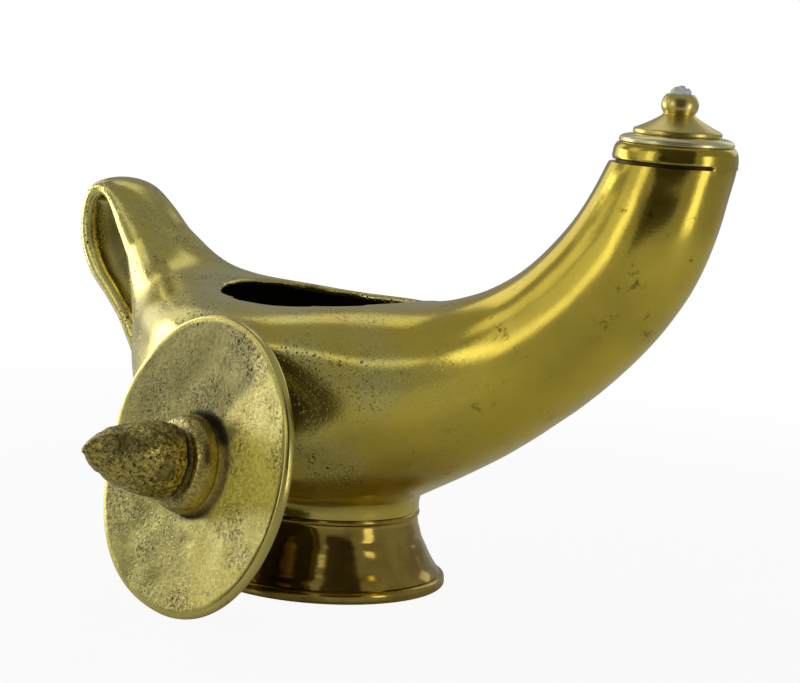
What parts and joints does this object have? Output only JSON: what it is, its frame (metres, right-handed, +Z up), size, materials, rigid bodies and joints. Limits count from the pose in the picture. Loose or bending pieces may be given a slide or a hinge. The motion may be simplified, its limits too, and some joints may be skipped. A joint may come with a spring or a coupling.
{
  "type": "oil lamp",
  "caption": "Boat-shaped brass oil lamp with a horn spout and wick burner, a loop handle, a turned foot, and a loose lid with an acorn finial leaning on the bowl.",
  "frame": {"origin": "on the table, under the middle of the foot", "axes": "+X towards the spout, +Z up, the lid leans on the bowl's -Y side"},
  "size_m": [0.2214, 0.1478, 0.147],
  "materials": {
    "cast_brass": "polished and worn",
    "lid_brass": "polished, with pits",
    "dark_brass": "tarnished",
    "turned_brass": "satin",
    "leather": "oiled",
    "cotton": "woven"
  },
  "bodies": {
    "lamp": {"bowl": "cast_brass", "handle": "cast_brass", "foot": "cast_brass", "foot_screw": "dark_brass", "foot_washer": "turned_brass", "foot_seal": "leather", "spout_collar": "cast_brass"},
    "burner": {"burner_plug": "dark_brass", "burner_flange": "turned_brass", "burner_cap": "turned_brass", "wick_tube": "turned_brass"},
    "wick": {"wick": "cotton"},
    "lid": {"lid_plate": "lid_brass", "lid_ring": "lid_brass", "lid_knob": "dark_brass", "knob_stud": "turned_brass", "knob_washer": "turned_brass", "knob_nut": "turned_brass"}
  },
  "joints": [
    {"name": "burner_lift", "type": "slide", "parent": "lamp", "child": "burner", "axis": [0.0349, -0.0436, 0.9984], "range_m": [0, 0.012]},
    {"name": "wick_feed", "type": "slide", "parent": "burner", "child": "wick", "axis": [0.0349, -0.0436, 0.9984], "range_m": [-0.002, 0.006]},
    {"name": "lid_away", "type": "slide", "parent": "lamp", "child": "lid", "axis": [-0.2368, -0.9715, 0], "range_m": [0, 0.1]}
  ]
}
